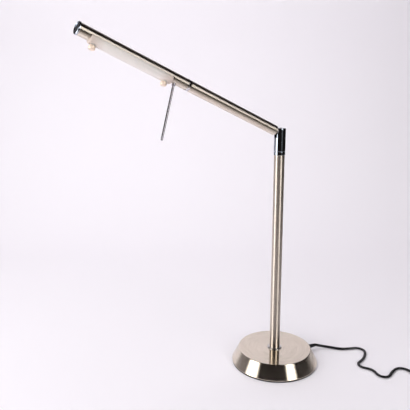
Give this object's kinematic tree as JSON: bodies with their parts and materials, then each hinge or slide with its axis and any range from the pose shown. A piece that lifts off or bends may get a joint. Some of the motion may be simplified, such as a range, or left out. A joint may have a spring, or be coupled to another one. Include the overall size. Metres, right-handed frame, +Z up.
{
  "type": "adjustable desk lamp",
  "caption": "Slim desk lamp: round weighted base, straight post, forked tilting and swivelling joint, tubular arm and a rolling tubular head with a frosted glass trough and a handle rod.",
  "frame": {"origin": "centre of the base's underside, on the surface the lamp stands on", "axes": "+Z up along the post, the arm reaches out along -X in the XZ plane at rest, -Y is the side the picture looks from"},
  "size_m": [0.6228, 0.416, 0.588],
  "materials": {
    "satin_nickel": "fine brushed nickel plate",
    "chrome": "polished chrome plate",
    "zinc_steel": "zinc plated",
    "grey_iron": "as cast, painted grey",
    "black_pad": "foam rubber sheet",
    "black_moulding": "fine moulded texture",
    "white_moulding": "smooth moulded",
    "flex": "smooth soft PVC sheath",
    "tie_strap": "woven hook-and-loop strap",
    "satin_brass": "pale gold, fine turned",
    "frosted_glass": "acid frosted",
    "clear_glass": "clear quartz",
    "ceramic": "unglazed steatite ceramic",
    "bright_aluminium": "bright rolled sheet",
    "silicone": "translucent silicone"
  },
  "bodies": {
    "stand": {"base_cover": "satin_nickel", "base_weight": "grey_iron", "base_plate": "zinc_steel", "foot_pad": "black_pad", "base_screws": "zinc_steel", "transformer": "black_moulding", "stem_tube": "zinc_steel", "stem_nut": "zinc_steel", "stem_washer": "zinc_steel", "post_foot": "zinc_steel", "post_collar": "chrome", "post_tube": "satin_nickel", "post_cable": "flex", "swivel_bush": "chrome", "cord_gland": "black_pad", "cord_lamp": "flex", "switch_base": "black_moulding", "switch_top": "black_moulding", "switch_contacts": "satin_brass", "cord_link": "flex", "cord_coil": "flex", "cord_tie": "tie_strap", "cord_tail": "flex", "plug_body": "black_moulding", "plug_pins": "chrome"},
    "knuckle_body": {"knuckle": "chrome", "swivel_washer": "white_moulding", "swivel_nut": "zinc_steel", "pivot_screw": "chrome"},
    "arm": {"friction_washers": "white_moulding", "arm_plug": "chrome", "arm_tube": "satin_nickel", "arm_cable": "flex", "head_sleeve": "chrome", "head_clip": "zinc_steel"},
    "head": {"head_bush": "satin_brass", "head_tube": "satin_nickel", "end_cap": "chrome", "reflector": "bright_aluminium", "lamp_sockets": "ceramic", "capsule_lamps": "clear_glass", "glass_trough": "frosted_glass", "glass_studs": "zinc_steel", "glass_washers": "silicone", "thumb_nuts": "satin_brass", "handle_rod": "chrome", "handle_ferrule": "chrome"},
    "rocker": {"switch_rocker": "black_moulding"}
  },
  "joints": [
    {"name": "post_swivel", "type": "hinge", "parent": "stand", "child": "knuckle_body", "pos_m": [0, 0, 0.399], "axis": [0, 0, 1], "range_deg": [-160, 160]},
    {"name": "arm_tilt", "type": "hinge", "parent": "knuckle_body", "child": "arm", "pos_m": [0, 0, 0.4308], "axis": [0, 1, 0], "range_deg": [-27.5, 62.5]},
    {"name": "head_roll", "type": "hinge", "parent": "arm", "child": "head", "pos_m": [-0.19401, 0, 0.51116], "axis": [-0.9239, 0, 0.3827], "range_deg": [-101, 79]},
    {"name": "switch_press", "type": "hinge", "parent": "stand", "child": "rocker", "pos_m": [0.163, -0.237, 0.0105], "axis": [1, 0, 0], "range_deg": [-12, 0]}
  ]
}
